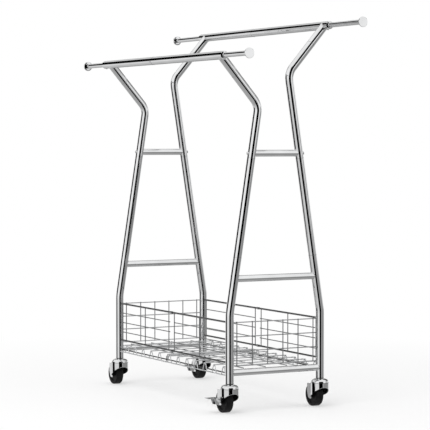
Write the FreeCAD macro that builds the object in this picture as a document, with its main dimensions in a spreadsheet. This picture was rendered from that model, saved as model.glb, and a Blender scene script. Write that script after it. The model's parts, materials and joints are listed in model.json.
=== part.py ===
"""Rolling clothes rack: two hanging rails at different heights on two A-shaped end
frames, with a wire basket between the legs and four swivel casters.

+X runs along the rails, from the far end to the near end. +Y runs from the low rail
to the high rail. +Z is up. The origin is on the floor, midway between the four legs.
All lengths are in millimetres and all angles in degrees.
"""
import FreeCAD, Part
import math
import os
import Sketcher
from FreeCAD import Placement, Rotation, Vector

SIZES = [
    ("leg_spacing_x", 960, "between leg axes, along the rails"),
    ("leg_spacing_y", 394, "between leg axes at the basket"),
    ("tube_radius", 15.9, "legs and rails, 1.25 inch tube"),
    ("tube_wall", 1.5, "wall of the legs and rails"),
    ("spigot_length", 35, "swaged end that plugs into the tube below"),
    ("spigot_play", 0.1, "radial play of a swaged end"),
    ("leg_foot_height", 113.5, "bottom end of a leg"),
    ("leg_bend_height", 374, "where a leg starts to lean inwards"),
    ("lean_angle", 8.94, "lean of a leg above its bend"),
    ("lower_seam_height", 585, "top of the lower leg tube"),
    ("upper_seam_height", 955, "top of the middle leg tube"),
    ("low_bend_height", 1153.5, "corner below the low rail"),
    ("high_bend_height", 1275.5, "corner below the high rail"),
    ("flare_angle", 41, "lean of a flare outwards from vertical"),
    ("flare_length", 244, "corner to rail axis"),
    ("flare_seam", 150, "corner to the seam on the flare"),
    ("leg_bend_radius", 150, "axis radius of the bend at the basket"),
    ("flare_bend_radius", 62, "axis radius of the bend below a flare"),
    ("bar_radius", 12.7, "crossbars and bottom bars, 1 inch tube"),
    ("bar_wall", 1.2, "wall of the crossbars"),
    ("upper_bar_height", 974, "bolted crossbar"),
    ("lower_bar_height", 505, "welded crossbar"),
    ("bottom_bar_height", 153, "welded bar that carries the shelf"),
    ("bolt_radius", 3, "crossbar bolts"),
    ("bolt_head_radius", 6.5, "crossbar bolts"),
    ("rail_length", 1044, "main rail, end to end"),
    ("low_rail_offset", -14, "middle of the low rail from the rack's middle"),
    ("high_rail_offset", -4, "middle of the high rail from the rack's middle"),
    ("low_rail_seam", -78, "seam of the low rail, from the rack's middle"),
    ("high_rail_seam", -69, "seam of the high rail, from the rack's middle"),
    ("splice_length", 290, "sleeve inside the seam"),
    ("splice_overlap", 40, "sleeve length on the far side of the seam"),
    ("rivet_radius", 1.7, "splice rivets and bushing screws"),
    ("screw_inset", 12, "bushing screw from the rail's end"),
    ("bushing_length", 20, "guide for the extension rod"),
    ("bushing_cone", 1.5, "bushing face proud of the rail's end at the bore"),
    ("rod_radius", 9.5, "extension rod"),
    ("rod_wall", 1.2, "wall of the extension rod"),
    ("rod_length", 322, "cap face to inner end"),
    ("collar_length", 20, "stop on the rod's inner end"),
    ("low_far_rod_out", 173, "rod out of the rail at rest"),
    ("low_near_rod_out", 185, "rod out of the rail at rest"),
    ("high_far_rod_out", 227, "rod out of the rail at rest"),
    ("high_near_rod_out", 229, "rod out of the rail at rest"),
    ("cap_radius", 19.5, "flat end cap"),
    ("cap_depth", 5, "flat end cap"),
    ("running_fit", 0.05, "radial clearance of shafts in bores"),
    ("rim_height", 342, "basket side rim"),
    ("foot_wire_height", 190, "lowest wire of a basket side"),
    ("side_wire_drop", 39.5, "between the thin wires of a side"),
    ("end_rim_height", 341, "top wire of a basket end"),
    ("end_wire_drop", 54, "between the wires of a basket end"),
    ("rim_wire_radius", 3.6, "rim and foot wires"),
    ("thin_wire_radius", 2, "basket grid"),
    ("side_wire_gap", 24, "basket side wires each side of the middle"),
    ("side_wire_pitch", 213, "between uprights of a side"),
    ("end_wire_pitch", 66.5, "between uprights of an end"),
    ("sleeve_radius", 4.8, "joint sleeve on the rim and foot wires"),
    ("sleeve_length", 16, "joint sleeve"),
    ("edge_wire_radius", 2.5, "edge wire of the shelf"),
    ("edge_wire_height", 151, "edge wire of the shelf"),
    ("truss_wire_radius", 2.2, "lower wire of the shelf's edge truss"),
    ("wave_wire_radius", 1.8, "wave wire of the truss"),
    ("truss_depth", 10, "edge wire to lower wire"),
    ("wave_crest", 36, "length of one crest with its two slopes"),
    ("shelf_wire_radius", 2.2, "shelf surface and support wires"),
    ("shelf_pitch", 75, "between surface wires"),
    ("shelf_split", -40, "seam between the two shelf halves"),
    ("far_wire_start", -99.5, "first surface wire of the far half"),
    ("near_wire_start", -11, "first surface wire of the near half"),
    ("support_reach", 141, "outermost support wire from the middle"),
    ("wheel_radius", 44, "caster wheel"),
    ("wheel_width", 30, "caster tread"),
    ("hub_width", 33, "wheel boss"),
    ("caster_trail", 39, "wheel axle behind the stem"),
    ("axle_radius", 4, "wheel axle"),
    ("hood_radius", 34.5, "round front of the caster hood"),
    ("hood_top", 107.5, "top of the caster hood"),
    ("hood_dome", 13, "rounding of the hood's top edge"),
    ("hood_wall", 2, "sheet steel of the hood"),
    ("cheek_reach", 20.5, "fork cheek's outer face from the middle"),
    ("cheek_length", 60, "fork cheek behind the stem"),
    ("channel_top", 87, "top of the fork cheeks behind the hood"),
    ("stem_radius", 5.5, "swivel stem"),
    ("stem_length", 40, "stem above the hood"),
    ("socket_length", 45, "plastic socket inside a leg"),
    ("pedal_width", 30, "brake pedal"),
    ("pedal_pin_radius", 2.2, "brake pedal pivot"),
    ("pedal_pivot_gap", 9.5, "pivot from the fork cheek"),
    ("pedal_pivot_rise", 8, "pivot above the wheel axle"),
    ("pedal_reach", 48, "pedal tip from the pivot"),
]

ENDS = (("far", -1), ("near", 1))
SIDES = (("low", -1), ("high", 1))
BRAKED = (("low", "near"), ("high", "far"))

doc = FreeCAD.newDocument("ClothesRack")
sheet = doc.addObject("Spreadsheet::Sheet", "Dimensions")
for row, (alias, number, note) in enumerate(SIZES, start=1):
    sheet.set("A%d" % row, note)
    sheet.set("B%d" % row, str(number))
    sheet.setAlias("B%d" % row, alias)
doc.recompute()
NODES = []


def size(alias):
    """The number in a named cell."""
    return float(sheet.get(alias))


def cells(expression):
    """Turn {name} into a reference to that cell of the sheet."""
    return expression.replace("{", "Dimensions.").replace("}", "")


def bind(target, prop, expression):
    target.setExpression(prop, cells(expression))


def node(piece, label, placement=None):
    """Give a finished sub-part its file name and its place."""
    piece.Label = label
    if placement is not None:
        piece.Placement = placement
    NODES.append(piece)
    return piece


def at(x, y, z, rotation=None):
    return Placement(Vector(x, y, z), rotation or Rotation())


def along(start, direction, roll_side=None):
    """Put a piece's own +Z along direction, with its +Y towards roll_side."""
    z_axis = Vector(direction).normalize()
    side = Vector(roll_side or Vector(0, 1, 0))
    y_axis = (side - z_axis * side.dot(z_axis)).normalize()
    x_axis = y_axis.cross(z_axis)
    return Placement(Vector(start), Rotation(x_axis, y_axis, z_axis, "ZXY"))


# ---------------------------------------------------------------- sketches

def new_body(name):
    return doc.addObject("PartDesign::Body", name)


def sketch_on(body, name, role):
    sketch = body.newObject("Sketcher::SketchObject", name)
    plane = [item for item in body.Origin.OriginFeatures if item.Role == role][0]
    sketch.AttachmentSupport = [(plane, "")]
    sketch.MapMode = "FlatFace"
    return sketch


def name_last(sketch, name, expression):
    """Name the newest constraint and bind it to the sheet."""
    sketch.renameConstraint(sketch.ConstraintCount - 1, name)
    sketch.setExpression("Constraints." + name, cells(expression))


def circle(sketch, name, radius):
    index = sketch.addGeometry(Part.Circle(Vector(0, 0, 0), Vector(0, 0, 1), 10), False)
    sketch.addConstraint(Sketcher.Constraint("Coincident", index, 3, -1, 1))
    sketch.addConstraint(Sketcher.Constraint("Radius", index, 10))
    name_last(sketch, name, radius)


def outline(sketch, corners):
    """A closed polygon whose corners are (across, up) expressions."""
    count = len(corners)
    rough = []
    for index in range(count):
        turn = 2 * math.pi * index / count
        rough.append(Vector(30 + 10 * math.cos(turn), 30 + 10 * math.sin(turn), 0))
    for index in range(count):
        sketch.addGeometry(Part.LineSegment(rough[index], rough[(index + 1) % count]), False)
    for index in range(count):
        following = (index + 1) % count
        sketch.addConstraint(Sketcher.Constraint("Coincident", index, 2, following, 1))
    for index, (across, up) in enumerate(corners):
        if across == "0":
            sketch.addConstraint(Sketcher.Constraint("PointOnObject", index, 1, -2))
        else:
            sketch.addConstraint(Sketcher.Constraint("DistanceX", -1, 1, index, 1, 20))
            name_last(sketch, "across%d" % index, across)
        if up == "0":
            sketch.addConstraint(Sketcher.Constraint("PointOnObject", index, 1, -1))
        else:
            sketch.addConstraint(Sketcher.Constraint("DistanceY", -1, 1, index, 1, 20))
            name_last(sketch, "up%d" % index, up)


def spin(body, name, corners):
    """Turn a half-section of (radius, height) corners about the body's Z axis."""
    sketch = sketch_on(body, name + "_section", "XZ_Plane")
    outline(sketch, corners)
    turned = body.newObject("PartDesign::Revolution", name)
    turned.Profile = sketch
    turned.ReferenceAxis = (sketch, ["V_Axis"])
    turned.Angle = 360
    return turned


def ring_tube(body, name, outer, wall, length):
    """A straight tube from the body's origin up its Z axis."""
    sketch = sketch_on(body, name + "_ring", "XY_Plane")
    circle(sketch, "outer", outer)
    circle(sketch, "bore", "(%s) - (%s)" % (outer, wall))
    pad = body.newObject("PartDesign::Pad", name)
    pad.Profile = sketch
    bind(pad, "Length", length)
    return pad


def bent_tube(body, name, angle, radius, run, reach):
    """A tube that rises, bends towards +Y and goes on.

    run and reach are the lengths from the two ends to the bend's corner. Each of the
    four sizes is a pair: its expression and its number now.
    """
    ring = sketch_on(body, name + "_ring", "XY_Plane")
    circle(ring, "outer", "{tube_radius}")
    circle(ring, "bore", "{tube_radius} - {tube_wall}")
    path = sketch_on(body, name + "_path", "YZ_Plane")
    turn = math.radians(angle[1])
    cut_back = radius[1] * math.tan(turn / 2)
    straight = run[1] - cut_back
    centre = Vector(radius[1], straight, 0)
    bend_end = centre + Vector(-math.cos(turn), math.sin(turn), 0) * radius[1]
    far_end = bend_end + Vector(math.sin(turn), math.cos(turn), 0) * (reach[1] - cut_back)
    path.addGeometry(Part.LineSegment(Vector(0, 0, 0), Vector(0, straight, 0)), False)
    arc = Part.ArcOfCircle(Part.Circle(centre, Vector(0, 0, 1), radius[1]), math.pi - turn, math.pi)
    path.addGeometry(arc, False)
    path.addGeometry(Part.LineSegment(bend_end, far_end), False)
    path.addConstraint(Sketcher.Constraint("Coincident", 0, 1, -1, 1))
    path.addConstraint(Sketcher.Constraint("PointOnObject", 0, 2, -2))
    path.addConstraint(Sketcher.Constraint("Tangent", 0, 2, 1, 2))
    path.addConstraint(Sketcher.Constraint("Tangent", 2, 1, 1, 1))
    path.addConstraint(Sketcher.Constraint("Radius", 1, radius[1]))
    name_last(path, "bend", radius[0])
    path.addConstraint(Sketcher.Constraint("Angle", 2, math.pi / 2 - turn))
    name_last(path, "direction", "90 deg - (%s) * 1 deg" % angle[0])
    shortened = "%s - (%s) * tan((%s) * 0.5 deg)"
    path.addConstraint(Sketcher.Constraint("Distance", 0, straight))
    name_last(path, "first_run", shortened % (run[0], radius[0], angle[0]))
    path.addConstraint(Sketcher.Constraint("Distance", 2, reach[1] - cut_back))
    name_last(path, "last_run", shortened % (reach[0], radius[0], angle[0]))
    pipe = body.newObject("PartDesign::AdditivePipe", name)
    pipe.Profile = ring
    pipe.Spine = (path, ["Edge1", "Edge2", "Edge3"])
    return pipe


def spigot(body, name):
    """The swaged lower end of a tube, which plugs into the tube below it."""
    outer = "{tube_radius} - {tube_wall} - {spigot_play}"
    inner = "{tube_radius} - 2 * {tube_wall} - {spigot_play}"
    spin(body, name, [
        (inner, "-{spigot_length}"),
        (outer, "-{spigot_length}"),
        (outer, "0"),
        ("{tube_radius}", "0"),
        ("{tube_radius}", "{tube_wall}"),
        (inner, "{tube_wall}"),
    ])


# ------------------------------------------------------------ solid helpers

def rod_tool(name, radius, length, placement):
    """A round bar used to drill or cope another piece."""
    tool = doc.addObject("Part::Cylinder", name)
    bind(tool, "Radius", radius)
    bind(tool, "Height", length)
    tool.Placement = placement
    return tool


def cut(base, tool, name):
    result = doc.addObject("Part::Cut", name)
    result.Base = base
    result.Tool = tool
    return result


def fuse(pieces, name):
    result = doc.addObject("Part::MultiFuse", name)
    result.Shapes = pieces
    return result


def solid_group(label, solids):
    """Several loose solids in one node."""
    piece = doc.addObject("Part::Feature", label)
    piece.Shape = Part.makeCompound(solids)
    node(piece, label)


def centred(direction, middle, length):
    """Placement of a bar of this length whose middle is at a point."""
    axis = Vector(direction).normalize()
    roll = Vector(0, 0, 1) if abs(axis.z) < 0.9 else Vector(0, 1, 0)
    return along(Vector(middle) - axis * (length / 2), axis, roll)


# ----------------------------------------------------------- leg geometry

LEG_X = size("leg_spacing_x") / 2
LEG_Y = size("leg_spacing_y") / 2
LEAN = math.radians(size("lean_angle"))
FLARE = math.radians(size("flare_angle"))


def leg_y(height):
    """Distance of a leg's axis from the middle plane, below the flare's corner."""
    return LEG_Y - math.tan(LEAN) * max(0.0, height - size("leg_bend_height"))


def leg_point(end_sign, side_sign, height):
    return Vector(end_sign * LEG_X, side_sign * leg_y(height), height)


def lean_direction(side_sign):
    return Vector(0, -side_sign * math.sin(LEAN), math.cos(LEAN))


def flare_direction(side_sign):
    return Vector(0, side_sign * math.sin(FLARE), math.cos(FLARE))


def corner(side, end_sign, side_sign):
    return leg_point(end_sign, side_sign, size(side + "_bend_height"))


def rail_axis(side, side_sign):
    """The (y, z) of a rail, at the ends of its two flares."""
    top = corner(side, 1, side_sign) + flare_direction(side_sign) * size("flare_length")
    return top.y, top.z


def leg_cutter(name, end_sign, side_sign, height):
    """The space of a leg around one height, for coping a bar that is welded to it."""
    middle = leg_point(end_sign, side_sign, height)
    upright = height < size("leg_bend_height") - 50
    direction = Vector(0, 0, 1) if upright else lean_direction(side_sign)
    return rod_tool(name, "{tube_radius}", "120", centred(direction, middle, 120))


# ------------------------------------------------------------------- legs

def lower_leg(side, side_sign, end, end_sign):
    name = "lower_leg_%s_%s" % (side, end)
    body = new_body(name + "_tube")
    run = size("leg_bend_height") - size("leg_foot_height")
    reach = (size("lower_seam_height") - size("leg_bend_height")) / math.cos(LEAN)
    bent_tube(
        body, name + "_pipe",
        ("{lean_angle}", size("lean_angle")),
        ("{leg_bend_radius}", size("leg_bend_radius")),
        ("{leg_bend_height} - {leg_foot_height}", run),
        ("({lower_seam_height} - {leg_bend_height}) / cos({lean_angle} * 1 deg)", reach),
    )
    foot = leg_point(end_sign, side_sign, size("leg_foot_height"))
    body.Placement = along(foot, Vector(0, 0, 1), Vector(0, -side_sign, 0))
    inward = Vector(-end_sign, 0, 0)
    drilled = body
    for wire in ("rim", "foot_wire"):
        middle = Vector(foot.x, foot.y, size(wire + "_height"))
        hole = rod_tool("%s_%s_hole" % (name, wire), "{rim_wire_radius} + 0.3", "30",
                        along(middle, inward, Vector(0, 0, 1)))
        drilled = cut(drilled, hole, "%s_%s_drilled" % (name, wire))
    node(drilled, name)


def middle_leg(side, side_sign, end, end_sign):
    name = "middle_leg_%s_%s" % (side, end)
    body = new_body(name + "_body")
    ring_tube(body, name + "_tube", "{tube_radius}", "{tube_wall}",
              "({upper_seam_height} - {lower_seam_height}) / cos({lean_angle} * 1 deg)")
    spigot(body, name + "_spigot")
    start = leg_point(end_sign, side_sign, size("lower_seam_height"))
    node(body, name, along(start, lean_direction(side_sign)))


def upper_leg(side, side_sign, end, end_sign):
    name = "upper_leg_%s_%s" % (side, end)
    body = new_body(name + "_tube")
    rise = size(side + "_bend_height") - size("upper_seam_height")
    bent_tube(
        body, name + "_pipe",
        ("{flare_angle} + {lean_angle}", size("flare_angle") + size("lean_angle")),
        ("{flare_bend_radius}", size("flare_bend_radius")),
        ("({%s_bend_height} - {upper_seam_height}) / cos({lean_angle} * 1 deg)" % side,
         rise / math.cos(LEAN)),
        ("{flare_seam}", size("flare_seam")),
    )
    spigot(body, name + "_spigot")
    start = leg_point(end_sign, side_sign, size("upper_seam_height"))
    body.Placement = along(start, lean_direction(side_sign), Vector(0, side_sign, 0))
    middle = leg_point(end_sign, side_sign, size("upper_bar_height"))
    hole = rod_tool(name + "_bolt_hole", "{bolt_radius} + 0.3", "60",
                    centred(Vector(0, 1, 0), middle, 60))
    node(cut(body, hole, name + "_drilled"), name)


# ------------------------------------------------------------- crossbars

def bar(name, end_sign, height, wall_line):
    """A tube across one end frame, coped to its two legs."""
    length = "2 * (%s)" % wall_line
    reach = leg_y(height)
    start = Vector(end_sign * LEG_X, -reach, height)
    place = along(start, Vector(0, 1, 0), Vector(0, 0, 1))
    outer = rod_tool(name + "_outer", "{bar_radius}", length, place)
    inner = rod_tool(name + "_inner", "{bar_radius} - {bar_wall}", length, place)
    piece = cut(outer, inner, name + "_tube")
    for side, side_sign in SIDES:
        cutter = leg_cutter("%s_%s_cope" % (name, side), end_sign, side_sign, height)
        piece = cut(piece, cutter, "%s_%s_coped" % (name, side))
    return piece


def straight_line(height_cell):
    """The leg's offset at a height, as an expression."""
    return ("{leg_spacing_y} / 2 - tan({lean_angle} * 1 deg) * max(0; {%s} - {leg_bend_height})"
            % height_cell)


def welded_bar(kind, cell, end, end_sign):
    name = "%s_%s" % (kind, end)
    node(bar(name, end_sign, size(cell), straight_line(cell)), name)


def upper_crossbar(end, end_sign):
    """The bolted crossbar: a tube with a threaded plug in each end."""
    name = "upper_crossbar_" + end
    height = size("upper_bar_height")
    tube = bar(name, end_sign, height, straight_line("upper_bar_height"))
    inset = leg_y(height) - size("tube_radius") - 22
    pieces = [tube]
    for side, side_sign in SIDES:
        plug_body = new_body("%s_%s_plug" % (name, side))
        ring_tube(plug_body, "%s_%s_insert" % (name, side), "{bar_radius} - 0.4",
                  "{bar_radius} - 0.4 - {bolt_radius} - 0.05", "18")
        face = Vector(end_sign * LEG_X, side_sign * inset, height)
        plug_body.Placement = along(face, Vector(0, side_sign, 0), Vector(0, 0, 1))
        pieces.append(plug_body)
    node(fuse(pieces, name + "_assembly"), name)


def crossbar_bolts():
    """Domed bolts through the upper legs into the plugs of the upper crossbars."""
    height = size("upper_bar_height")
    head = size("bolt_head_radius")
    shank = size("bolt_radius")
    outside = leg_y(height) + size("tube_radius") + 1.4
    solids = []
    for _, end_sign in ENDS:
        for _, side_sign in SIDES:
            axis = Vector(0, side_sign, 0)
            seat = Vector(end_sign * LEG_X, side_sign * outside, height)
            tip = Vector(end_sign * LEG_X, side_sign * (outside - 52), height)
            body = Part.makeCylinder(shank, 52, tip, axis)
            rim = Part.makeCylinder(head, 1.6, seat, axis)
            ball_radius = 9.0
            depth = math.sqrt(ball_radius ** 2 - head ** 2)
            ball = Part.makeSphere(ball_radius, seat + axis * (1.6 - depth))
            clip = Part.makeCylinder(head, 20, seat + axis * 1.6, axis)
            dome = ball.common(clip)
            solids.append(body.fuse([rim, dome]).removeSplitter())
    solid_group("crossbar_bolts", solids)


# ------------------------------------------------------------------ rails

def rail_middle(side):
    return size(side + "_rail_offset")


def rivet_places(side, side_sign):
    """Where the splice rivets sit: points on the rail axis and the outward direction."""
    y, z = rail_axis(side, side_sign)
    outward = Vector(0, -math.cos(math.radians(10)), -math.sin(math.radians(10)))
    steps = (-10,) if side == "low" else (221, 246)
    return [(Vector(size(side + "_rail_seam") + step, y, z), outward) for step in steps]


def screw_place(side, side_sign, end_sign):
    """The point on the rail axis above a bushing's screw."""
    y, z = rail_axis(side, side_sign)
    inset = size("rail_length") / 2 - size("screw_inset")
    return Vector(rail_middle(side) + end_sign * inset, y, z)


def rail_holes(side, side_sign, end, end_sign, piece):
    """Drill one rail half for the rivets in its splice and for its bushing's screw."""
    name = "rail_%s_%s" % (side, end)
    down = Vector(0, 0, -1)
    holes = [(screw_place(side, side_sign, end_sign), down)]
    for middle, outward in rivet_places(side, side_sign):
        if (middle.x - size(side + "_rail_seam")) * end_sign > 0:
            holes.append((middle, outward))
    for index, (middle, outward) in enumerate(holes):
        hole = rod_tool("%s_hole_%d" % (name, index), "{rivet_radius} + 0.1", "24",
                        along(middle, outward, Vector(1, 0, 0)))
        piece = cut(piece, hole, "%s_drilled_%d" % (name, index))
    return piece


def rail_tube(side, side_sign, end, end_sign):
    """Half of a main rail, with the flare tip that is welded below it."""
    name = "rail_%s_%s" % (side, end)
    y, z = rail_axis(side, side_sign)
    seam = size(side + "_rail_seam")
    tip = rail_middle(side) + end_sign * size("rail_length") / 2
    body = new_body(name + "_body")
    length = "{rail_length} / 2 + %d * ({%s_rail_offset} - {%s_rail_seam})" % (end_sign, side, side)
    ring_tube(body, name + "_tube", "{tube_radius}", "{tube_wall}", length)
    body.Placement = along(Vector(tip, y, z), Vector(seam - tip, 0, 0), Vector(0, 0, 1))
    riser = new_body(name + "_riser")
    ring_tube(riser, name + "_riser_tube", "{tube_radius}", "{tube_wall}",
              "{flare_length} - {flare_seam}")
    spigot(riser, name + "_riser_spigot")
    direction = flare_direction(side_sign)
    start = corner(side, end_sign, side_sign) + direction * size("flare_seam")
    riser.Placement = along(start, direction)
    core = rod_tool(name + "_core", "{tube_radius} - 0.6", "160",
                    centred(Vector(1, 0, 0), Vector(end_sign * LEG_X, y, z), 160))
    coped = cut(riser, core, name + "_riser_coped")
    welded = fuse([body, coped], name + "_welded")
    node(rail_holes(side, side_sign, end, end_sign, welded), name)


def round_head(foot, outward, head_radius, head_height):
    """A low domed head that stands on a tube."""
    disc = Part.makeCylinder(head_radius, head_height / 2, foot, outward)
    top = Part.makeCone(head_radius, head_radius * 0.6, head_height / 2,
                        foot + outward * (head_height / 2), outward)
    return disc.fuse(top)


def splices():
    """Sleeves inside the rail seams, and the rivets that hold them."""
    sleeves = []
    rivets = []
    radius = size("tube_radius") - size("tube_wall") - size("spigot_play")
    hole = size("rivet_radius") + 0.1
    axis = Vector(1, 0, 0)
    for side, side_sign in SIDES:
        y, z = rail_axis(side, side_sign)
        start = Vector(size(side + "_rail_seam") - size("splice_overlap"), y, z)
        sleeve = Part.makeCylinder(radius, size("splice_length"), start, axis)
        sleeve = sleeve.cut(Part.makeCylinder(radius - 1.5, size("splice_length"), start, axis))
        for middle, outward in rivet_places(side, side_sign):
            sleeve = sleeve.cut(Part.makeCylinder(hole, 24, middle, outward))
            shank = Part.makeCylinder(size("rivet_radius"), 5, middle + outward * (radius - 3), outward)
            seat = middle + outward * (size("tube_radius") + 0.1)
            rivets.append(shank.fuse(round_head(seat, outward, 3.2, 1.4)).removeSplitter())
        sleeves.append(sleeve)
    solid_group("rail_splice_sleeves", sleeves)
    solid_group("rail_splice_rivets", rivets)


def bushings():
    """Plastic guides pressed into the four rail ends, each held by a small screw."""
    guides = []
    screws = []
    radius = size("tube_radius") - size("tube_wall") - 0.05
    bore = size("rod_radius") + size("running_fit")
    length = size("bushing_length")
    down = Vector(0, 0, -1)
    for side, side_sign in SIDES:
        for _, end_sign in ENDS:
            middle = screw_place(side, side_sign, end_sign)
            start = middle + Vector(end_sign * size("screw_inset"), 0, 0)
            axis = Vector(-end_sign, 0, 0)
            cone = size("bushing_cone")
            guide = Part.makeCylinder(radius, length, start, axis)
            guide = guide.fuse(Part.makeCone(radius, bore + 0.8, cone, start, -axis)).removeSplitter()
            guide = guide.cut(Part.makeCylinder(bore, length + cone, start - axis * cone, axis))
            guides.append(guide.cut(Part.makeCylinder(size("rivet_radius") + 0.1, 24, middle, down)))
            shank = Part.makeCylinder(size("rivet_radius"), 5.5, middle + down * (radius - 3.5), down)
            seat = middle + down * (size("tube_radius") + 0.1)
            screws.append(shank.fuse(round_head(seat, down, 3.6, 2.4)).removeSplitter())
    solid_group("rail_bushings", guides)
    solid_group("bushing_screws", screws)


def extension(side, side_sign, end, end_sign):
    """A sliding rod with a stop collar on its inner end, and its flat cap."""
    y, z = rail_axis(side, side_sign)
    tip = rail_middle(side) + end_sign * (size("rail_length") / 2 + size("%s_%s_rod_out" % (side, end)))
    inward = Vector(-end_sign, 0, 0)
    rod_name = "extension_rod_%s_%s" % (side, end)
    rod = new_body(rod_name + "_body")
    bore = "{rod_radius} - {rod_wall}"
    collar = "{tube_radius} - {tube_wall} - 0.3"
    spin(rod, rod_name + "_turned", [
        (bore, "0"),
        ("{rod_radius}", "0"),
        ("{rod_radius}", "{rod_length} - {collar_length}"),
        (collar, "{rod_length} - {collar_length}"),
        (collar, "{rod_length}"),
        (bore, "{rod_length}"),
    ])
    node(rod, rod_name, along(Vector(tip, y, z), inward, Vector(0, 0, 1)))
    cap_name = "end_cap_%s_%s" % (side, end)
    cap = new_body(cap_name + "_body")
    plug = "{rod_radius} - {rod_wall} - 0.05"
    spin(cap, cap_name + "_turned", [
        ("0", "-14"),
        (plug, "-14"),
        (plug, "0"),
        ("{cap_radius} * 0.72", "0"),
        ("{cap_radius} * 0.9", "{cap_depth} * 0.2"),
        ("{cap_radius}", "{cap_depth} * 0.55"),
        ("{cap_radius}", "{cap_depth} * 0.85"),
        ("{cap_radius} - 1", "{cap_depth}"),
        ("0", "{cap_depth}"),
    ])
    node(cap, cap_name, along(Vector(tip, y, z), -inward, Vector(0, 0, 1)))


# ----------------------------------------------------------------- basket

def wire(start, finish, radius):
    start = Vector(*start)
    span = Vector(*finish) - start
    return Part.makeCylinder(radius, span.Length, start, span)


def grid(label, wires):
    """One welded wire piece."""
    piece = doc.addObject("Part::Feature", label)
    piece.Shape = wires[0].multiFuse(wires[1:])
    node(piece, label)


def basket_side(side, side_sign, end, end_sign):
    """Half of a basket side: thick rim and foot wires with a thin grid between them."""
    rim = size("rim_wire_radius")
    thin = size("thin_wire_radius")
    top = size("rim_height")
    foot = size("foot_wire_height")
    plane = side_sign * LEG_Y
    inside = side_sign * (LEG_Y - 2 * thin + 0.8)
    into_leg = end_sign * (LEG_X - 8)
    middle = end_sign * 0.3
    first = end_sign * size("side_wire_gap")
    uprights = [first + end_sign * size("side_wire_pitch") * step for step in range(3)]
    wires = [wire((middle, plane, level), (into_leg, plane, level), rim) for level in (top, foot)]
    wires += [wire((x, plane, foot), (x, plane, top), thin) for x in uprights]
    for step in range(1, 4):
        level = top - step * size("side_wire_drop")
        wires.append(wire((uprights[0] - end_sign * 3, inside, level),
                          (uprights[2] + end_sign * 3, inside, level), thin))
    grid("basket_side_%s_%s" % (side, end), wires)


def basket_end(end, end_sign):
    """Wire panel between the two legs of one end frame."""
    thin = size("thin_wire_radius")
    top = size("end_rim_height")
    reach = LEG_Y - size("tube_radius") - 0.1
    plane = end_sign * LEG_X
    inside = end_sign * (LEG_X - 2 * thin + 0.8)
    levels = [top - step * size("end_wire_drop") for step in range(4)]
    pitch = size("end_wire_pitch")
    wires = [wire((inside, -reach, level), (inside, reach, level), thin) for level in levels]
    for step in range(6):
        y = (step - 2.5) * pitch
        wires.append(wire((plane, y, levels[-1] - 3), (plane, y, top + 3), thin))
    grid("basket_end_" + end, wires)


def basket_sleeves():
    """Joint sleeves over the meeting ends of the rim and foot wires."""
    solids = []
    half = size("sleeve_length") / 2
    axis = Vector(1, 0, 0)
    for _, side_sign in SIDES:
        for level in (size("rim_height"), size("foot_wire_height")):
            start = Vector(-half, side_sign * LEG_Y, level)
            outer = Part.makeCylinder(size("sleeve_radius"), 2 * half, start, axis)
            bore = Part.makeCylinder(size("rim_wire_radius") + 0.1, 2 * half, start, axis)
            solids.append(outer.cut(bore))
    solid_group("basket_sleeves", solids)


def wave_points(start, finish, crests, level, height, y):
    """Corners of the truss's wave wire, one crest under each surface wire."""
    flat = size("wave_crest") / 6
    foot = size("wave_crest") / 2
    points = [(start, y, level)]
    for crest in sorted(crests):
        points.append((crest - foot, y, level))
        points.append((crest - flat, y, level + height))
        points.append((crest + flat, y, level + height))
        points.append((crest + foot, y, level))
    points.append((finish, y, level))
    return points


def bent_wire(points, radius):
    """A wire along straight runs, mitred where it bends."""
    corners = [Vector(*point) for point in points]
    path = Part.makePolygon(corners)
    section = Part.Wire(Part.makeCircle(radius, corners[0], corners[1] - corners[0]))
    return path.makePipeShell([section], True, True, 1)


def shelf_half(end, end_sign):
    """Half of the wire shelf: edge trusses, support wires and surface wires."""
    edge = size("edge_wire_radius")
    truss = size("truss_wire_radius")
    wave = size("wave_wire_radius")
    surface = size("shelf_wire_radius")
    bar_top = size("bottom_bar_height") + size("bar_radius")
    lift = 0.4 if end == "near" else 0.1
    support_level = bar_top + surface + lift
    surface_level = support_level + 2 * surface - 0.4
    edge_level = size("edge_wire_height")
    foot_level = edge_level - size("truss_depth")
    pitch = size("shelf_pitch")
    if end == "far":
        split = size("shelf_split") - 3
        crests = [size("far_wire_start") - pitch * step for step in range(5)]
    else:
        split = size("shelf_split") + 3
        crests = [size("near_wire_start") + pitch * step for step in range(7)]
    at_leg = end_sign * (LEG_X - size("tube_radius") - 0.1)
    wave_plane = LEG_Y + truss + wave - 0.4
    wires = []
    for side_sign in (-1, 1):
        plane = side_sign * LEG_Y
        wires.append(wire((split, plane, edge_level), (at_leg, plane, edge_level), edge))
        wires.append(wire((split, plane, foot_level), (at_leg, plane, foot_level), truss))
        low = min(split, at_leg) + 1
        high = max(split, at_leg) - 1
        rise = surface_level - surface - wave + 0.4 - foot_level
        points = wave_points(low, high, crests, foot_level, rise, side_sign * wave_plane)
        wires.append(bent_wire(points, wave))
    y_reach = wave_plane + wave + 0.6
    for x in crests:
        wires.append(wire((x, -y_reach, surface_level), (x, y_reach, surface_level), surface))
    spread = size("support_reach")
    shift = 3 if end == "near" else -3
    overlap = -12 if end == "near" else 0
    for step in range(4):
        y = -spread + step * spread * 2 / 3 + shift
        wires.append(wire((split + overlap, y, support_level),
                          (end_sign * LEG_X, y, support_level), surface))
    x = split + end_sign * surface
    end_level = surface_level if end == "near" else support_level - 2 * surface + 0.1
    wires.append(wire((x, -LEG_Y, end_level), (x, LEG_Y, end_level), surface))
    for side_sign in (-1, 1):
        y = side_sign * LEG_Y
        wires.append(wire((x, y, foot_level), (x, y, end_level), size("thin_wire_radius")))
    grid("shelf_" + end, wires)


# ---------------------------------------------------------------- casters

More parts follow.
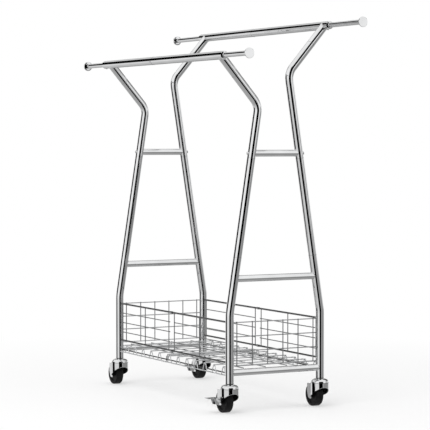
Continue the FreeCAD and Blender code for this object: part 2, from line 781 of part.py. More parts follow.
def caster_origin(side_sign, end_sign):
    return Vector(end_sign * LEG_X, side_sign * LEG_Y, 0)


def caster_hood(side, side_sign, end, end_sign):
    """The pressed steel fork: a round hood, and two cheeks with the wheel between them."""
    name = "caster_fork_%s_%s" % (side, end)
    origin = caster_origin(side_sign, end_sign)
    wall = size("hood_wall")
    back = size("cheek_length")
    reach = size("cheek_reach")
    place = Placement(origin, Rotation())

    def cup(label, radius, top):
        drum = doc.addObject("Part::Cylinder", "%s_%s" % (name, label))
        bind(drum, "Radius", radius)
        bind(drum, "Height", "%s - 20" % top)
        drum.Placement = at(0, 0, 20)
        rounded = doc.addObject("Part::Fillet", "%s_%s_dome" % (name, label))
        rounded.Base = drum
        rounded.Edges = [(3, size("hood_dome"), size("hood_dome"))]
        return rounded

    def channel(label, corner_of_box, reach, length, top):
        box = doc.addObject("Part::Box", "%s_%s" % (name, label))
        bind(box, "Length", length)
        bind(box, "Width", "2 * (%s)" % reach)
        bind(box, "Height", "%s - 20" % top)
        box.Placement = at(*corner_of_box, 20)
        return box

    outside = fuse([
        cup("outer_cup", "{hood_radius}", "{hood_top}"),
        channel("outer_channel", (-back, -reach), "{cheek_reach}", "{cheek_length}", "{channel_top}"),
    ], name + "_outside")
    inside = fuse([
        cup("inner_cup", "{hood_radius} - {hood_wall}", "{hood_top} - {hood_wall}"),
        channel("inner_channel", (-back - 5, wall - reach), "{cheek_reach} - {hood_wall}",
                "{cheek_length} + 5", "{channel_top} + 5"),
    ], name + "_inside")
    shell = cut(outside, inside, name + "_shell")
    profile = new_body(name + "_profile")
    sketch = sketch_on(profile, name + "_profile_outline", "XZ_Plane")
    outline(sketch, [
        ("-{caster_trail} - 7", "{wheel_radius} - 15"),
        ("-{caster_trail} + 7", "{wheel_radius} - 15"),
        ("-{caster_trail} + 15", "{wheel_radius} - 6"),
        ("0", "{wheel_radius} + 7"),
        ("{hood_radius} + 1", "{hood_top} - 29"),
        ("{hood_radius} + 1", "{hood_top} + 1"),
        ("-{cheek_length} - 1", "{hood_top} + 1"),
        ("-{cheek_length} - 1", "{wheel_radius} + 12"),
        ("-{caster_trail} - 14", "{wheel_radius} - 8"),
    ])
    pad = profile.newObject("PartDesign::Pad", name + "_profile_pad")
    pad.Profile = sketch
    bind(pad, "Length", "2 * {hood_radius} + 4")
    pad.Midplane = True
    trimmed = doc.addObject("Part::Common", name + "_trimmed")
    trimmed.Base = shell
    trimmed.Tool = profile
    stem = new_body(name + "_stem")
    spin(stem, name + "_stem_turned", [
        ("0", "{hood_top} - 5"),
        ("{stem_radius} + 2.5", "{hood_top} - 5"),
        ("{stem_radius} + 2.5", "{hood_top} - 1"),
        ("{hood_radius} * 0.42", "{hood_top} - 1"),
        ("{hood_radius} * 0.42", "{hood_top} + 2.5"),
        ("{stem_radius}", "{hood_top} + 3.5"),
        ("{stem_radius}", "{hood_top} + {stem_length}"),
        ("0", "{hood_top} + {stem_length}"),
    ])
    pieces = [trimmed, stem]
    braked = (side, end) in BRAKED
    if braked:
        pieces += pedal_ears(name)
    riveted = fuse(pieces, name + "_riveted")
    axle_hole = rod_tool(name + "_axle_hole", "{axle_radius} + 0.05", "60",
                         centred(Vector(0, 1, 0), Vector(-size("caster_trail"), 0, size("wheel_radius")), 60))
    bored = cut(riveted, axle_hole, name + "_bored")
    if braked:
        pin_hole = rod_tool(name + "_pin_hole", "{pedal_pin_radius} + {running_fit}", "60",
                            centred(Vector(1, 0, 0), pedal_pivot(), 60))
        bored = cut(bored, pin_hole, name + "_pin_bored")
    node(bored, name, place)


def pedal_pivot():
    """The middle of the brake pedal's pivot, in the caster's own frame."""
    reach = size("cheek_reach") + size("pedal_pivot_gap")
    rise = size("wheel_radius") + size("pedal_pivot_rise")
    return Vector(-size("caster_trail"), -reach, rise)


def pedal_ears(name):
    """Two ears on the fork cheek, which hold the pedal's pin."""
    ears = []
    pivot = pedal_pivot()
    for index, sign in enumerate((-1, 1)):
        ear = doc.addObject("Part::Box", "%s_ear_%d" % (name, index))
        bind(ear, "Length", "{hood_wall}")
        bind(ear, "Width", "{pedal_pivot_gap} + 5")
        bind(ear, "Height", "8.3")
        x = pivot.x + sign * (size("pedal_width") / 2 - 5) - size("hood_wall") / 2
        ear.Placement = at(x, pivot.y - 4, pivot.z - 5)
        ears.append(ear)
    return ears


def caster_axle(side, side_sign, end, end_sign):
    name = "caster_axle_%s_%s" % (side, end)
    body = new_body(name + "_body")
    half = "{cheek_reach}"
    spin(body, name + "_turned", [
        ("0", "-%s - 2.5" % half),
        ("{axle_radius} + 2", "-%s - 2.5" % half),
        ("{axle_radius} + 3", "-%s - 0.1" % half),
        ("{axle_radius}", "-%s - 0.1" % half),
        ("{axle_radius}", "%s + 0.1" % half),
        ("{axle_radius} + 3", "%s + 0.1" % half),
        ("{axle_radius} + 2", "%s + 2.5" % half),
        ("0", "%s + 2.5" % half),
    ])
    centre = caster_origin(side_sign, end_sign)
    centre += Vector(-size("caster_trail"), 0, size("wheel_radius"))
    node(body, name, along(centre, Vector(0, 1, 0), Vector(0, 0, 1)))


def caster_wheel(side, side_sign, end, end_sign):
    name = "caster_wheel_%s_%s" % (side, end)
    body = new_body(name + "_body")
    tread = "{wheel_width} / 2"
    boss = "{hub_width} / 2"
    web = "{wheel_width} / 2 - 4"
    bore = "{axle_radius} + {running_fit}"
    half = [
        (bore, boss),
        ("{axle_radius} + 6", boss),
        ("{axle_radius} + 7.5", web),
        ("{wheel_radius} - 13", web),
        ("{wheel_radius} - 11", tread),
        ("{wheel_radius} - 2.5", tread),
        ("{wheel_radius} - 0.8", "%s - 0.9" % tread),
        ("{wheel_radius}", "%s - 2.8" % tread),
    ]
    mirrored = [(radius, "-(%s)" % up) for radius, up in reversed(half)]
    spin(body, name + "_turned", half + mirrored)
    centre = caster_origin(side_sign, end_sign)
    centre += Vector(-size("caster_trail"), 0, size("wheel_radius"))
    node(body, name, along(centre, Vector(0, 1, 0), Vector(0, 0, 1)))


def caster_sockets():
    """Plastic sockets pressed into the feet of the legs."""
    solids = []
    foot = size("leg_foot_height")
    radius = size("tube_radius") - size("tube_wall") - 0.05
    for _, end_sign in ENDS:
        for _, side_sign in SIDES:
            base = caster_origin(side_sign, end_sign)
            plug = Part.makeCylinder(radius, size("socket_length"), base + Vector(0, 0, foot - 0.1))
            flange = Part.makeCylinder(size("tube_radius"), 1.6, base + Vector(0, 0, foot - 1.7))
            whole = plug.fuse(flange).removeSplitter()
            bore = size("stem_radius") + size("running_fit")
            hole = Part.makeCylinder(bore, 80, base + Vector(0, 0, foot - 10))
            solids.append(whole.cut(hole))
    solid_group("caster_sockets", solids)


def brake_pedal(side, side_sign, end, end_sign):
    """A folded steel pedal on its own pin: a flat tab with a web down each side.

    The webs' inner edge is cut back, so that it passes the hood when the pedal turns.
    """
    name = "brake_pedal_%s_%s" % (side, end)
    body = new_body(name + "_body")
    sketch = sketch_on(body, name + "_side", "YZ_Plane")
    outline(sketch, [
        ("2", "6.6"),
        ("-{pedal_reach}", "6.6"),
        ("-{pedal_reach}", "4.6"),
        ("-{pedal_reach} * 0.5", "4.6"),
        ("-{pedal_reach} * 0.46", "1"),
        ("-14", "-19"),
        ("-3", "-21"),
        ("-1", "-16"),
        ("2", "-8"),
    ])
    pad = body.newObject("PartDesign::Pad", name + "_block")
    pad.Profile = sketch
    bind(pad, "Length", "{pedal_width}")
    pad.Midplane = True
    doc.recompute()
    hollow = sketch_on(body, name + "_hollow_side", "YZ_Plane")
    outline(hollow, [
        ("3", "4.6"),
        ("-{pedal_reach} - 1", "4.6"),
        ("-{pedal_reach} - 1", "-25"),
        ("3", "-25"),
    ])
    pocket = body.newObject("PartDesign::Pocket", name + "_hollow")
    pocket.Profile = hollow
    bind(pocket, "Length", "{pedal_width} - 2 * {hood_wall}")
    pocket.Midplane = True
    body.Tip = pocket
    pivot = caster_origin(side_sign, end_sign) + pedal_pivot()
    body.Placement = Placement(pivot, Rotation())
    pin = rod_tool(name + "_pin", "{pedal_pin_radius}", "{pedal_width} + 4",
                   centred(Vector(1, 0, 0), pivot, size("pedal_width") + 4))
    node(fuse([body, pin], name + "_welded"), name)


# ------------------------------------------------------------------ build

def build():
    for end, end_sign in ENDS:
        for side, side_sign in SIDES:
            lower_leg(side, side_sign, end, end_sign)
            middle_leg(side, side_sign, end, end_sign)
            upper_leg(side, side_sign, end, end_sign)
            rail_tube(side, side_sign, end, end_sign)
            extension(side, side_sign, end, end_sign)
            basket_side(side, side_sign, end, end_sign)
            caster_hood(side, side_sign, end, end_sign)
            caster_axle(side, side_sign, end, end_sign)
            caster_wheel(side, side_sign, end, end_sign)
            if (side, end) in BRAKED:
                brake_pedal(side, side_sign, end, end_sign)
        upper_crossbar(end, end_sign)
        welded_bar("lower_crossbar", "lower_bar_height", end, end_sign)
        welded_bar("bottom_bar", "bottom_bar_height", end, end_sign)
        basket_end(end, end_sign)
        shelf_half(end, end_sign)
    crossbar_bolts()
    splices()
    bushings()
    basket_sleeves()
    caster_sockets()


def export():
    """Check every object, then write one file for each sub-part."""
    doc.recompute()
    failed = [item.Name for item in doc.Objects if {"Invalid", "Error"} & set(item.State)]
    for piece in NODES:
        if piece.Shape.isNull() or not piece.Shape.isValid():
            failed.append(piece.Label)
    if failed:
        raise RuntimeError("failed: " + ", ".join(failed))
    os.makedirs("parts", exist_ok=True)
    for piece in NODES:
        shape = piece.Shape
        box = shape.BoundBox
        print("%-28s solids %d volume %9.0f  x %.0f..%.0f y %.0f..%.0f z %.0f..%.0f" % (
            piece.Label, len(shape.Solids), shape.Volume,
            box.XMin, box.XMax, box.YMin, box.YMax, box.ZMin, box.ZMax))
        shape.exportStep("parts/%s.step" % piece.Label)
    print(len(NODES), "nodes")


build()
export()
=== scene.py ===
"""Looks for the rolling clothes rack: chrome tubes and wires, pressed steel casters
with black rubber wheels, and a studio with a pale floor."""
import json
import math

import bpy
import bmesh
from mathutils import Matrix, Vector


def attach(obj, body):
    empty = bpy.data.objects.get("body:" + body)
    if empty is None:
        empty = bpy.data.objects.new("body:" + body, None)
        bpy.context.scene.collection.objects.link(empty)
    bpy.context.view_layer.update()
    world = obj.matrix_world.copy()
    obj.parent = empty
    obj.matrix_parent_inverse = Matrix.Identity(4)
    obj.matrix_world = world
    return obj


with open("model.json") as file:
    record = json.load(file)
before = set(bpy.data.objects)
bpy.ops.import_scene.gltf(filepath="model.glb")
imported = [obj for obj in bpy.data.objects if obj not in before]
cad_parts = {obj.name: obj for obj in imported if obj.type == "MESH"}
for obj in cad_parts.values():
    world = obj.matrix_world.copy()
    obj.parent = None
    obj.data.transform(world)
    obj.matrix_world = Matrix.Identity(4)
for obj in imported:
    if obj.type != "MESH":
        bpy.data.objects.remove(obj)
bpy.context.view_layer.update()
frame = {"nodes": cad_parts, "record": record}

# The camera of the photograph, in the rack's frame.
CAMERA_AZIMUTH = 61.827
CAMERA_PITCH = -2.2526
CAMERA_PLACE = (6.6505, -3.5640, 1.0210)
CAMERA_LENS = 158.0

# The rack's own sizes in metres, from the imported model.
LEG_X, LEG_Y = 0.480, 0.197
TUBE, BAR = 0.0159, 0.0127  # radius of the legs and rails, and of the welded bars
BEND_HEIGHT = 0.374  # the legs lean inwards above this
LEAN, FLARE = math.radians(8.94), math.radians(41.0)
CORNERS = {"low": 1.1535, "high": 1.2755}  # height of the bend below each flare
FLARE_LENGTH, FLARE_SEAM = 0.244, 0.150  # from that bend to the rail, and to the seam
LEG_SEAMS = (0.585, 0.955)
WELDED_BARS = (("lower_crossbar", 0.505), ("bottom_bar", 0.153))
RAIL_SEAMS = {"low": -0.078, "high": -0.069}
WHEEL, TRAIL, TREAD = 0.044, 0.039, 0.015  # radius, axle behind the stem, half the width
HOOD_RADIUS, HOOD_GROOVE = 0.0345, 0.0940
MOULD_RING = WHEEL - 0.0065
ENDS = (("far", -1), ("near", 1))
SIDES = (("low", -1), ("high", 1))

# The added details: thickness of each bead, and the number of points along it.
BAR_WELD, RAIL_WELD, WELD_RIPPLE = 0.0013, 0.0012, 0.22
# The seam lines and the hood grooves are thin black rings of painted shade; the tyres' mould rings
# are raised rubber.
SEAM_SHADE_LINE, GROOVE_SHADE_AND_RING = 0.00035, 0.0006
BEAD_SIDES, RIPPLE_POINTS = 8, 4.0
BAR_WELD_POINTS, CIRCLE_POINTS = 60, 72
SADDLE_ROUNDING = 0.02  # keeps the rail weld's curve from a sharp corner

# Where the wires run, in metres. A wire is told from the grid by its height and by its
# distance from the rack's middle plane.
RIM_WIRE, FOOT_WIRE, EDGE_WIRE = 0.342, 0.190, 0.151
THICK_REACH, EDGE_REACH = 0.0042, 0.0029
SHELF_TOP = 0.18
WAVE_OUTSIDE, WAVE_BELOW = 0.1999, 0.1445
# Painted reflection on the wires: their tints against the grid's, darker on the thick and edge wires
# and paler on the shelf and wave wires, and the roughness added to the wave wires.
THICK_DARK_REFLECTION, SHELF_BRIGHT_REFLECTION, EDGE_DARK_REFLECTION, WAVE_BRIGHT_REFLECTION = 0.40, 1.45, 0.12, 2.15
WAVE_ROUGHNESS = 0.45
WORN_TINT = 0.90


# ------------------------------------------------------------ node helpers

class Maker:
    """Builds one node tree with short calls."""

    def __init__(self, tree):
        self.tree = tree
        tree.nodes.clear()

    def add(self, kind, **settings):
        node = self.tree.nodes.new(kind)
        for key, value in settings.items():
            setattr(node, key, value)
        return node

    def link(self, output, socket):
        self.tree.links.new(output, socket)

    def feed(self, node, name, value):
        if hasattr(value, "is_linked"):
            self.link(value, node.inputs[name])
        else:
            node.inputs[name].default_value = value

    def noise(self, vector, scale, detail, rough):
        node = self.add("ShaderNodeTexNoise")
        self.link(vector, node.inputs["Vector"])
        node.inputs["Scale"].default_value = scale
        node.inputs["Detail"].default_value = detail
        node.inputs["Roughness"].default_value = rough
        return node.outputs["Fac"]

    def stretch(self, vector, scale):
        node = self.add("ShaderNodeMapping")
        self.link(vector, node.inputs["Vector"])
        node.inputs["Scale"].default_value = scale
        return node.outputs["Vector"]

    def span(self, value, low, high, to_low, to_high):
        node = self.add("ShaderNodeMapRange")
        self.link(value, node.inputs["Value"])
        node.inputs["From Min"].default_value = low
        node.inputs["From Max"].default_value = high
        node.inputs["To Min"].default_value = to_low
        node.inputs["To Max"].default_value = to_high
        return node.outputs["Result"]

    def split(self, vector):
        node = self.add("ShaderNodeSeparateXYZ")
        self.link(vector, node.inputs[0])
        return node.outputs

    def maths(self, operation, first, second):
        node = self.add("ShaderNodeMath", operation=operation)
        self.feed(node, 0, first)
        self.feed(node, 1, second)
        return node.outputs[0]

    def mix(self, factor, first, second):
        node = self.add("ShaderNodeMix", data_type="RGBA")
        self.feed(node, 0, factor)
        for index, value in ((6, first), (7, second)):
            self.feed(node, index, value if hasattr(value, "is_linked") else (*value, 1.0))
        return node.outputs[2]

    def bump(self, shader, height, strength, distance):
        node = self.add("ShaderNodeBump")
        node.inputs["Strength"].default_value = strength
        node.inputs["Distance"].default_value = distance
        self.link(height, node.inputs["Height"])
        self.link(node.outputs["Normal"], shader.inputs["Normal"])


def new_material(name):
    material = bpy.data.materials.new(name)
    material.use_nodes = True
    maker = Maker(material.node_tree)
    shader = maker.add("ShaderNodeBsdfPrincipled")
    output = maker.add("ShaderNodeOutputMaterial")
    maker.link(shader.outputs["BSDF"], output.inputs["Surface"])
    place = maker.add("ShaderNodeTexCoord").outputs["Object"]
    return material, maker, shader, place


def times(tint, factor):
    return tuple(value * factor for value in tint)


def paint_wire_reflections(make, place, tint):
    """Painted reflection on the wires: one chrome made darker or paler by place, for what it reflects
    there. Thick basket wires are duller than the grid and shelf wires brighter. The shelf's edge
    wires are nearly black and its wave wires pale satin. These tones were set against the photograph."""
    _, along, up = make.split(place)
    away = make.maths("ABSOLUTE", along, 0.0)

    def near(value, middle, half):
        gap = make.maths("ABSOLUTE", make.maths("SUBTRACT", value, middle), 0.0)
        return make.maths("LESS_THAN", gap, half)

    side = near(away, LEG_Y, THICK_REACH)
    thick = make.maths("ADD", near(up, RIM_WIRE, THICK_REACH), near(up, FOOT_WIRE, THICK_REACH))
    thick = make.maths("MULTIPLY", side, make.maths("MINIMUM", thick, 1.0))
    edge = make.maths("MULTIPLY", near(away, LEG_Y, EDGE_REACH), near(up, EDGE_WIRE, EDGE_REACH))
    wave = make.maths("MULTIPLY", make.maths("GREATER_THAN", away, WAVE_OUTSIDE),
                      make.maths("LESS_THAN", up, SHELF_TOP))
    wave = make.maths("MAXIMUM", wave, make.maths("LESS_THAN", up, WAVE_BELOW))
    # Painted reflection: the thick wires darker, the shelf and wave wires paler, the edge wires
    # nearly black.
    colour = make.mix(thick, tint, times(tint, THICK_DARK_REFLECTION))
    shelf = make.maths("LESS_THAN", up, SHELF_TOP)
    colour = make.mix(shelf, colour, times(tint, SHELF_BRIGHT_REFLECTION))
    colour = make.mix(edge, colour, times(tint, EDGE_DARK_REFLECTION))
    return make.mix(wave, colour, times(tint, WAVE_BRIGHT_REFLECTION)), wave


def chrome(name, tint, base_rough, grain, wires=False):
    """Plated steel: faint cloudiness and hairline scratches along the grain."""
    material, make, shader, place = new_material(name)
    clouds = make.noise(place, scale=9.0, detail=4.0, rough=0.55)
    fine = make.noise(place, scale=160.0, detail=3.0, rough=0.6)
    hairs = make.noise(make.stretch(place, grain), scale=240.0, detail=2.0, rough=0.5)
    marks = make.span(hairs, low=0.62, high=0.80, to_low=0.0, to_high=1.0)
    shade = make.span(clouds, low=0.35, high=0.7, to_low=0.0, to_high=1.0)
    if wires:
        # The wires' colour holds painted reflection, darker or paler by place.
        tone, satin = paint_wire_reflections(make, place, tint)
        worn_painted_tone = make.mix(WORN_TINT, (0.0, 0.0, 0.0), tone)
        colour = make.mix(shade, tone, worn_painted_tone)
    else:
        colour = make.mix(shade, tint, times(tint, WORN_TINT))
    make.link(colour, shader.inputs["Base Color"])
    shader.inputs["Metallic"].default_value = 1.0
    rough = make.span(clouds, low=0.3, high=0.75, to_low=base_rough, to_high=base_rough * 1.9)
    specks = make.span(fine, low=0.45, high=0.75, to_low=0.0, to_high=0.03)
    rough = make.maths("ADD", rough, specks)
    rough = make.maths("ADD", rough, make.maths("MULTIPLY", marks, 0.06))
    if wires:
        rough = make.maths("ADD", rough, make.maths("MULTIPLY", satin, WAVE_ROUGHNESS))
    make.link(rough, shader.inputs["Roughness"])
    make.bump(shader, make.maths("ADD", fine, hairs), strength=0.03, distance=0.0004)
    return material


def rubber(name):
    """Black tread rubber: mottled, with a dusty bloom and fine pores."""
    material, make, shader, place = new_material(name)
    clouds = make.noise(place, scale=35.0, detail=4.0, rough=0.6)
    pores = make.noise(place, scale=900.0, detail=2.0, rough=0.6)
    bloom = make.span(clouds, low=0.42, high=0.72, to_low=0.0, to_high=1.0)
    colour = make.mix(bloom, (0.005, 0.005, 0.0055), (0.015, 0.015, 0.0155))
    make.link(colour, shader.inputs["Base Color"])
    rough = make.span(clouds, low=0.3, high=0.7, to_low=0.42, to_high=0.62)
    make.link(rough, shader.inputs["Roughness"])
    shader.inputs["Specular IOR Level"].default_value = 0.2
    make.bump(shader, pores, strength=0.25, distance=0.0003)
    return material


def plastic(name):
    """Moulded black plastic with a fine satin texture."""
    material, make, shader, place = new_material(name)
    clouds = make.noise(place, scale=60.0, detail=3.0, rough=0.5)
    grain = make.noise(place, scale=1400.0, detail=2.0, rough=0.5)
    colour = make.mix(clouds, (0.012, 0.012, 0.012), (0.022, 0.022, 0.023))
    make.link(colour, shader.inputs["Base Color"])
    rough = make.span(clouds, low=0.3, high=0.7, to_low=0.30, to_high=0.45)
    make.link(rough, shader.inputs["Roughness"])
    make.bump(shader, grain, strength=0.15, distance=0.0002)
    return material


# Each chrome's tint, its least roughness and the stretch of its scratches.
MATERIALS = {
    "chrome_tube": chrome("chrome_tube", (0.83, 0.835, 0.84), 0.03, (1.0, 1.0, 0.06)),
    "chrome_wire": chrome("chrome_wire", (0.44, 0.445, 0.45), 0.06, (0.3, 0.3, 0.3), wires=True),
    "pressed_steel": chrome("pressed_steel", (0.80, 0.805, 0.81), 0.045, (0.25, 1.0, 0.25)),
    "bright_steel": chrome("bright_steel", (0.82, 0.825, 0.83), 0.10, (1.0, 0.2, 1.0)),
    "wheel_rubber": rubber("wheel_rubber"),
    "black_plastic": plastic("black_plastic"),
}


def dress_frame():
    """Give every carried-over CAD node its finished material."""
    slots = {part["node"]: part["material_slot"] for part in frame["record"]["subparts"]}
    for node, piece in frame["nodes"].items():
        piece.data.materials.clear()
        piece.data.materials.append(MATERIALS[slots[node]])


# ------------------------------------------------------------ added details

def leg_y(height):
    """How far a leg's axis is from the rack's middle plane at a height."""
    return LEG_Y - math.tan(LEAN) * max(0.0, height - BEND_HEIGHT)


def flare_place(side, end_sign, side_sign, distance):
    """A point on a flare's axis, this far above its corner, and the axis direction."""
    direction = Vector((0, side_sign * math.sin(FLARE), math.cos(FLARE)))
    height = CORNERS[side]
    corner = Vector((end_sign * LEG_X, side_sign * leg_y(height), height))
    return corner + direction * distance, direction


def bead(name, points, thickness, body, slot, ripple=0.0):
    """A closed round bead along a loop of points, with weld ripples if asked."""
    mesh = bpy.data.meshes.new(name)
    build = bmesh.new()
    count = len(points)
    middle = sum(points, Vector()) / count
    rings = []
    for index, point in enumerate(points):
        forward = (points[(index + 1) % count] - points[index - 1]).normalized()
        outward = point - middle
        outward = (outward - forward * outward.dot(forward)).normalized()
        across = forward.cross(outward)
        thick = thickness * (1.0 + ripple * math.sin(index * 2.0 * math.pi / RIPPLE_POINTS))
        rings.append([build.verts.new(point
                                      + outward * math.cos(2 * math.pi * turn / BEAD_SIDES) * thick
                                      + across * math.sin(2 * math.pi * turn / BEAD_SIDES) * thick)
                      for turn in range(BEAD_SIDES)])
    for index in range(count):
        first, second = rings[index], rings[(index + 1) % count]
        for turn in range(BEAD_SIDES):
            after = (turn + 1) % BEAD_SIDES
            face = build.faces.new((first[turn], first[after], second[after], second[turn]))
            face.smooth = True
    build.normal_update()
    build.to_mesh(mesh)
    build.free()
    piece = bpy.data.objects.new(name, mesh)
    bpy.context.collection.objects.link(piece)
    mesh.materials.append(MATERIALS[slot])
    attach(piece, body)


def circle_points(centre, axis, radius):
    """Points round an axis."""
    axis = Vector(axis).normalized()
    first = axis.orthogonal().normalized()
    second = axis.cross(first)
    turns = [2 * math.pi * index / CIRCLE_POINTS for index in range(CIRCLE_POINTS)]
    return [Vector(centre) + (first * math.cos(turn) + second * math.sin(turn)) * radius
            for turn in turns]


def bar_weld(end_sign, side_sign, height):
    """The saddle curve where a crossbar meets a leg."""
    lean = LEAN if height > BEND_HEIGHT else 0.0
    points = []
    for index in range(BAR_WELD_POINTS):
        turn = 2 * math.pi * index / BAR_WELD_POINTS
        across, rise = BAR * math.cos(turn), BAR * math.sin(turn)
        inset = (math.sqrt(TUBE ** 2 - across ** 2) + rise * math.sin(lean)) / math.cos(lean)
        points.append(Vector((end_sign * LEG_X + across,
                              side_sign * (leg_y(height) - inset), height + rise)))
    return points


def rail_weld(side, end_sign, side_sign):
    """The curve where a flare meets the underside of its rail."""
    top, direction = flare_place(side, end_sign, side_sign, FLARE_LENGTH)
    side_way = Vector((0, math.cos(FLARE), -side_sign * math.sin(FLARE)))
    points = []
    for index in range(CIRCLE_POINTS):
        turn = 2 * math.pi * index / CIRCLE_POINTS
        drop = TUBE * math.sqrt(math.cos(turn) ** 2 + SADDLE_ROUNDING)
        points.append(top - direction * drop + Vector((TUBE * math.cos(turn), 0, 0))
                      + side_way * TUBE * math.sin(turn))
    return points


def add_details():
    """Weld beads, the seam lines and the hoods' grooves as thin black rings of painted shade, and the
    tyres' mould rings.
    """
    for end, end_sign in ENDS:
        for kind, height in WELDED_BARS:
            for side, side_sign in SIDES:
                name = "%s_weld_%s_%s" % (kind, side, end)
                bead(name, bar_weld(end_sign, side_sign, height), BAR_WELD, "frame",
                     "bright_steel", WELD_RIPPLE)
        for side, side_sign in SIDES:
            tag = "%s_%s" % (side, end)
            bead("rail_weld_" + tag, rail_weld(side, end_sign, side_sign), RAIL_WELD, "frame",
                 "bright_steel", WELD_RIPPLE)
            lean = (0, -side_sign * math.sin(LEAN), math.cos(LEAN))
            # Thin black rings at the leg and flare seams: painted shade in the seams.
            for number, height in enumerate(LEG_SEAMS):
                place = (end_sign * LEG_X, side_sign * leg_y(height), height)
                bead("leg_seam_shade_%s_%d" % (tag, number), circle_points(place, lean, TUBE), SEAM_SHADE_LINE,
                     "frame", "black_plastic")
            place, direction = flare_place(side, end_sign, side_sign, FLARE_SEAM)
            bead("flare_seam_shade_" + tag, circle_points(place, direction, TUBE), SEAM_SHADE_LINE,
                 "frame", "black_plastic")
            stem = (end_sign * LEG_X, side_sign * LEG_Y)
            # A thin black ring in the hood's groove: painted shade.
            bead("hood_groove_shade_" + tag, circle_points((*stem, HOOD_GROOVE), (0, 0, 1), HOOD_RADIUS),
                 GROOVE_SHADE_AND_RING, "caster_" + tag, "black_plastic")
            axle = Vector((stem[0] - TRAIL, stem[1], WHEEL))
            for face in (-1, 1):
                place = axle + Vector((0, face * TREAD, 0))
                bead("tyre_ring_%s_%s" % (tag, "inner" if face < 0 else "outer"),
                     circle_points(place, (0, 1, 0), MOULD_RING), GROOVE_SHADE_AND_RING, "wheel_" + tag,
                     "wheel_rubber")
    for side, side_sign in SIDES:
        top, _ = flare_place(side, 1, side_sign, FLARE_LENGTH)
        # A thin black ring at the rail's seam: painted shade.
        bead("rail_seam_shade_" + side, circle_points((RAIL_SEAMS[side], top.y, top.z), (1, 0, 0), TUBE),
             SEAM_SHADE_LINE, "frame", "black_plastic")


# -------------------------------------------------------------- the studio

FLOOR_HALF_SIZE = 14.0
# The floor glows white from here outwards, so that it meets the backdrop without an edge.
FADE_START, FADE_END, LEAST_GLOW = 0.7, 2.4, 0.45
KEY_PLACE, KEY_TARGET = (2.5, -3.5, 5.5), (0, 0, 0.5)
KEY_SIZE, KEY_POWER = 3.5, 160
WHITE = (1.0, 1.0, 1.0, 1.0)
DEGREES = 180.0 / math.pi

# Flags and softboxes round the studio, as the chrome reflects them: a name for the
# reader, the middle azimuth and half width, the middle elevation and half height, the
# soft edge (all in degrees) and the brightness. Azimuth 0 lies towards -Y and 90
# towards +X. They were tuned for the photograph's angle only.
CARDS = (
    ("side_grey", 148, 44, -23, 21.5, 1.5, 0.30),
    ("side_grey_end", 156, 16, 1, 5, 2, 0.35),
    ("upper_side_grey", 160, 18, 21, 10, 3, 0.45),
    ("dome_flag", 203, 19, 29, 13, 3, 0.02),
    ("leg_flag", 75, 25, 3, 42, 2, 0.0),
    ("leg_flag_wide", 97, 10, 22, 24, 2, 0.0),
    ("edge_flag", 324, 23, 0, 16, 2, 0.0),
    ("rail_top_grey", 255, 13, 21, 11, 3, 0.60),
    ("rail_under_grey", 251, 11, -18, 13, 3, 0.35),
    ("bar_top_grey", 232, 11, 24, 22, 4, 0.12),
    ("tab_flag", 241.5, 7, 8.5, 3.5, 1.5, 0.05),
    ("rail_flag_low", 290.5, 7, 7, 6, 1.5, 0.0),
    ("rail_flag_middle", 291.5, 8, 16, 6, 1.5, 0.0),
    ("rail_flag_high", 285.5, 10.5, 27, 8, 2, 0.0),
)
# Brightness of the plain studio by elevation in degrees, from the floor's bounce up.
BOUNCE = ((-89, 0.42), (-62, 0.42), (-35, 0.45), (-28, 0.55), (-24, 0.59), (-13, 0.75),
          (-10, 0.80), (0, 0.95), (3, 1.0))


def add_camera():
    data = bpy.data.cameras.new("photo_camera")
    data.lens = CAMERA_LENS
    data.sensor_width = 36.0
    data.clip_end = 100.0
    camera = bpy.data.objects.new("photo_camera", data)
    bpy.context.collection.objects.link(camera)
    camera.location = CAMERA_PLACE
    azimuth = math.radians(CAMERA_AZIMUTH)
    pitch = math.radians(CAMERA_PITCH)
    forward = Vector((-math.sin(azimuth) * math.cos(pitch),
                      math.cos(azimuth) * math.cos(pitch), math.sin(pitch)))
    camera.rotation_mode = "QUATERNION"
    camera.rotation_quaternion = forward.to_track_quat("-Z", "Y")
    bpy.context.scene.camera = camera


def add_floor():
    """A pale floor that fades to white and that the chrome doesn't reflect."""
    mesh = bpy.data.meshes.new("floor")
    grid = bmesh.new()
    bmesh.ops.create_grid(grid, x_segments=8, y_segments=8, size=FLOOR_HALF_SIZE)
    grid.to_mesh(mesh)
    grid.free()
    floor = bpy.data.objects.new("floor", mesh)
    bpy.context.collection.objects.link(floor)
    material, make, shader, place = new_material("floor_paint")
    soft = make.noise(place, scale=1.3, detail=3.0, rough=0.5)
    colour = make.mix(soft, (0.93, 0.93, 0.93), (0.96, 0.96, 0.96))
    make.link(colour, shader.inputs["Base Color"])
    shader.inputs["Roughness"].default_value = 0.8
    glow = make.add("ShaderNodeEmission")
    distance = make.add("ShaderNodeVectorMath", operation="LENGTH")
    make.link(place, distance.inputs[0])
    fade = make.span(distance.outputs["Value"], FADE_START, FADE_END, LEAST_GLOW, 1.0)
    blend = make.add("ShaderNodeMixShader")
    make.link(fade, blend.inputs[0])
    make.link(shader.outputs[0], blend.inputs[1])
    make.link(glow.outputs[0], blend.inputs[2])
    final = [node for node in make.tree.nodes if node.type == "OUTPUT_MATERIAL"][0]
    make.link(blend.outputs[0], final.inputs["Surface"])
    mesh.materials.append(material)
    floor.visible_glossy = False


def add_key_light():
    """A soft light for the rubber and the floor. The chrome doesn't reflect it."""
    data = bpy.data.lights.new("key", "AREA")
    data.shape = "RECTANGLE"
    data.size = data.size_y = KEY_SIZE
    data.energy = KEY_POWER
    light = bpy.data.objects.new("key", data)
    bpy.context.collection.objects.link(light)
    light.location = KEY_PLACE
    aim = Vector(KEY_TARGET) - Vector(KEY_PLACE)
    light.rotation_mode = "QUATERNION"
    light.rotation_quaternion = aim.to_track_quat("-Z", "Y")
    light.visible_glossy = False


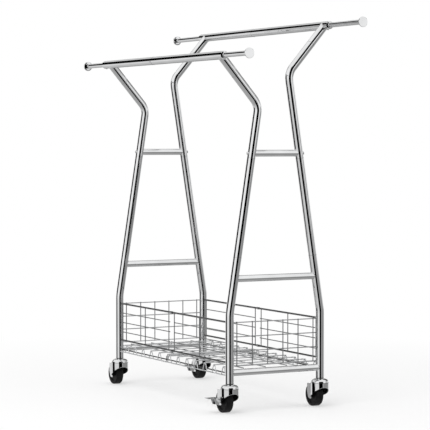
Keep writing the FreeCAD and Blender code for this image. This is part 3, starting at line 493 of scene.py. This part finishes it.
def add_world():
    """White to the camera, and a ring of flags and softboxes to everything else."""
    world = bpy.data.worlds.new("studio")
    bpy.context.scene.world = world
    world.use_nodes = True
    make = Maker(world.node_tree)
    output = make.add("ShaderNodeOutputWorld")
    direction = make.add("ShaderNodeTexCoord").outputs["Generated"]
    across, along, up = make.split(direction)
    azimuth = make.maths("ARCTAN2", across, make.maths("MULTIPLY", along, -1.0))
    azimuth = make.maths("MULTIPLY", azimuth, DEGREES)
    elevation = make.maths("MULTIPLY", make.maths("ARCSINE", up, 0.0), DEGREES)
    ramp = make.add("ShaderNodeValToRGB")
    make.link(make.span(elevation, -90.0, 90.0, 0.0, 1.0), ramp.inputs[0])
    stops = ramp.color_ramp.elements
    stops[0].color = (BOUNCE[0][1],) * 3 + (1.0,)
    stops[1].color = WHITE
    for height, brightness in BOUNCE:
        stops.new((height + 90.0) / 180.0).color = (brightness, brightness, brightness, 1.0)
    level = ramp.outputs["Color"]
    for _, az, az_half, el, el_half, soft, brightness in CARDS:
        turn = make.maths("SUBTRACT", azimuth, float(az))
        turn = make.maths("WRAP", turn, 180.0)
        turn.node.inputs[2].default_value = -180.0  # the lower end of the wrap
        mask = make.span(make.maths("ABSOLUTE", turn, 0.0), az_half - soft, az_half + soft, 1.0, 0.0)
        rise = make.maths("ABSOLUTE", make.maths("SUBTRACT", elevation, float(el)), 0.0)
        mask = make.maths("MULTIPLY", mask, make.span(rise, el_half - soft, el_half + soft, 1.0, 0.0))
        change = make.maths("MULTIPLY", mask, make.maths("SUBTRACT", brightness, level))
        level = make.maths("ADD", change, level)
    studio = make.add("ShaderNodeBackground")
    make.link(level, studio.inputs["Strength"])
    backdrop = make.add("ShaderNodeBackground")
    for light in (studio, backdrop):
        light.inputs["Color"].default_value = WHITE
    choose = make.add("ShaderNodeMixShader")
    make.link(make.add("ShaderNodeLightPath").outputs["Is Camera Ray"], choose.inputs[0])
    make.link(studio.outputs[0], choose.inputs[1])
    make.link(backdrop.outputs[0], choose.inputs[2])
    make.link(choose.outputs[0], output.inputs["Surface"])


dress_frame()
add_details()
add_camera()
add_floor()
add_world()
add_key_light()
bpy.context.scene.view_settings.view_transform = "Standard"
